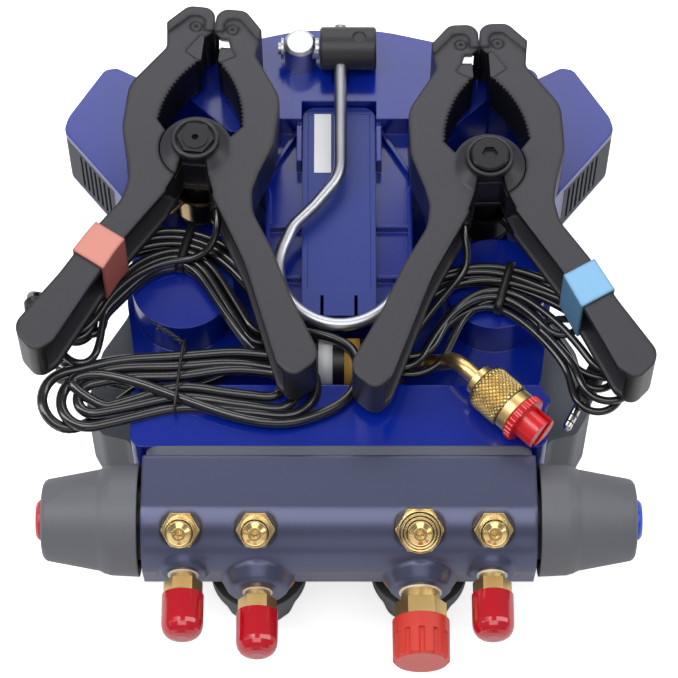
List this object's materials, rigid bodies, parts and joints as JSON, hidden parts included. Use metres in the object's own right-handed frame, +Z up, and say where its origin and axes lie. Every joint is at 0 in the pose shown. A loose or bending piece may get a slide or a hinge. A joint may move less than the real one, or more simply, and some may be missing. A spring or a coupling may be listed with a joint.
{
  "type": "refrigerant manifold gauge",
  "caption": "Digital refrigerant manifold lying face down, with flare ports, valve handles, folding hook, pipe clamp probes and a vacuum sensor.",
  "frame": {"origin": "on the front face's rim that rests on the table, midway across, just below the screen window", "axes": "+X along the valve block towards the blue handle, +Y away from the ports, +Z up out of the back of the head"},
  "size_m": [0.2415, 0.2634, 0.1143],
  "materials": {
    "housing_blue": "satin moulded, deep blue",
    "housing_grey": "moulded grey",
    "grip_rubber": "ribbed soft rubber",
    "door_blue": "satin moulded",
    "cell_wrap": "printed foil, plain",
    "board_green": "solder mask",
    "display_grey": "dark display",
    "lens_clear": "clear window",
    "key_grey": "soft key",
    "block_anodised": "satin blue grey anodised",
    "gasket_grey": "matt",
    "brass": "turned brass",
    "bonnet_black": "blackened",
    "handle_grey": "moulded grey",
    "insert_red": "gloss",
    "insert_blue": "gloss",
    "ring_amber": "gloss",
    "stem_steel": "ground",
    "cap_red": "dipped vinyl, gloss",
    "cap_orange_red": "moulded",
    "zinc": "bright zinc plate",
    "barrel_black": "satin black",
    "clamp_plastic": "textured dark grey",
    "black_plastic": "satin black",
    "bolt_black": "blackened steel",
    "spring_steel": "drawn wire",
    "band_salmon": "tape",
    "band_blue": "tape",
    "label_black": "plain label sleeve",
    "cord_black": "smooth black jacket",
    "jack_black": "moulded plug"
  },
  "bodies": {
    "instrument": {"batteries": "cell_wrap", "battery_door": "door_blue", "block_gasket": "gasket_grey", "circuit_board": "board_green", "clamp_left_bolt": "bolt_black", "clamp_left_cord_boot": "black_plastic", "clamp_left_inner_arm": "clamp_plastic", "clamp_left_inner_tip": "black_plastic", "clamp_left_spring": "spring_steel", "clamp_right_bolt": "bolt_black", "clamp_right_cord_boot": "black_plastic", "clamp_right_inner_arm": "clamp_plastic", "clamp_right_inner_tip": "black_plastic", "clamp_right_spring": "spring_steel", "cord_hank_left": "cord_black", "cord_hank_right": "cord_black", "cord_hank_vacuum": "cord_black", "coupler_plug": "cap_orange_red", "display_module": "display_grey", "front_housing": "housing_grey", "hook_post": "zinc", "hose_rests": "brass", "jack_left": "jack_black", "jack_right": "jack_black", "manifold_block": "block_anodised", "port_fittings": "brass", "rear_housing": "housing_blue", "screen_lens": "lens_clear", "side_grips": "grip_rubber", "vacuum_connector": "jack_black", "vacuum_fitting": "brass", "vacuum_sensor": "label_black", "valve_bonnets": "bonnet_black"},
    "handle_left": {"handle_left": "handle_grey", "stem_left": "stem_steel", "insert_left": "insert_red"},
    "handle_right": {"handle_right": "handle_grey", "stem_right": "stem_steel", "insert_right": "insert_blue"},
    "knob_left": {"handle_front_left": "handle_grey", "stem_front_left": "stem_steel", "knob_ring_left": "ring_amber"},
    "knob_right": {"handle_front_right": "handle_grey", "stem_front_right": "stem_steel", "knob_ring_right": "ring_amber"},
    "hook": {"hook_barrel": "barrel_black", "hook_rod": "zinc"},
    "clamp_left_arm": {"clamp_left_outer_arm": "clamp_plastic", "clamp_left_outer_tip": "black_plastic", "clamp_left_colour_band": "band_salmon"},
    "clamp_right_arm": {"clamp_right_outer_arm": "clamp_plastic", "clamp_right_outer_tip": "black_plastic", "clamp_right_colour_band": "band_blue"},
    "port_cap_1": {"port_cap_1": "cap_red"},
    "port_cap_2": {"port_cap_2": "cap_red"},
    "port_cap_large": {"port_cap_large": "cap_orange_red"},
    "port_cap_4": {"port_cap_4": "cap_red"},
    "key_left": {"key_left": "key_grey"},
    "key_centre": {"key_centre": "key_grey"},
    "key_right": {"key_right": "key_grey"}
  },
  "joints": [
    {"name": "left_valve_turn", "type": "hinge", "parent": "instrument", "child": "handle_left", "pos_m": [-0.0756, -0.0773, 0.059], "axis": [-1, 0, 0], "range_deg": [0, 720]},
    {"name": "right_valve_turn", "type": "hinge", "parent": "instrument", "child": "handle_right", "pos_m": [0.0756, -0.0773, 0.059], "axis": [1, 0, 0], "range_deg": [0, 720]},
    {"name": "front_left_valve_turn", "type": "hinge", "parent": "instrument", "child": "knob_left", "pos_m": [-0.03101, -0.0845, 0.02], "axis": [0, 0, -1], "range_deg": [0, 720]},
    {"name": "front_right_valve_turn", "type": "hinge", "parent": "instrument", "child": "knob_right", "pos_m": [0.03101, -0.0845, 0.02], "axis": [0, 0, -1], "range_deg": [0, 720]},
    {"name": "hook_fold", "type": "hinge", "parent": "instrument", "child": "hook", "pos_m": [0, 0.1157, 0.091], "axis": [-1, 0, 0], "range_deg": [0, 180]},
    {"name": "clamp_left_open", "type": "hinge", "parent": "instrument", "child": "clamp_left_arm", "pos_m": [-0.0555, 0.06, 0.0946], "axis": [0, 0, 1], "range_deg": [0, 24], "stiffness_Nm_per_rad": 0.6, "springref_deg": -28.65, "deforming": ["clamp_left_spring"]},
    {"name": "clamp_right_open", "type": "hinge", "parent": "instrument", "child": "clamp_right_arm", "pos_m": [0.058, 0.052, 0.0946], "axis": [0, 0, -1], "range_deg": [0, 16], "stiffness_Nm_per_rad": 0.6, "springref_deg": -28.65, "deforming": ["clamp_right_spring"]},
    {"name": "port_cap_1_pull", "type": "slide", "parent": "instrument", "child": "port_cap_1", "axis": [0, -1, 0], "range_m": [0, 0.018]},
    {"name": "port_cap_2_pull", "type": "slide", "parent": "instrument", "child": "port_cap_2", "axis": [0, -1, 0], "range_m": [0, 0.018]},
    {"name": "port_cap_large_pull", "type": "slide", "parent": "instrument", "child": "port_cap_large", "axis": [0, -1, 0], "range_m": [0, 0.018]},
    {"name": "port_cap_4_pull", "type": "slide", "parent": "instrument", "child": "port_cap_4", "axis": [0, -1, 0], "range_m": [0, 0.018]},
    {"name": "key_left_press", "type": "slide", "parent": "instrument", "child": "key_left", "axis": [0, 0, 1], "range_m": [0, 0.001], "stiffness_N_per_m": 400, "springref_m": -0.0005},
    {"name": "key_centre_press", "type": "slide", "parent": "instrument", "child": "key_centre", "axis": [0, 0, 1], "range_m": [0, 0.001], "stiffness_N_per_m": 400, "springref_m": -0.0005},
    {"name": "key_right_press", "type": "slide", "parent": "instrument", "child": "key_right", "axis": [0, 0, 1], "range_m": [0, 0.001], "stiffness_N_per_m": 400, "springref_m": -0.0005}
  ]
}
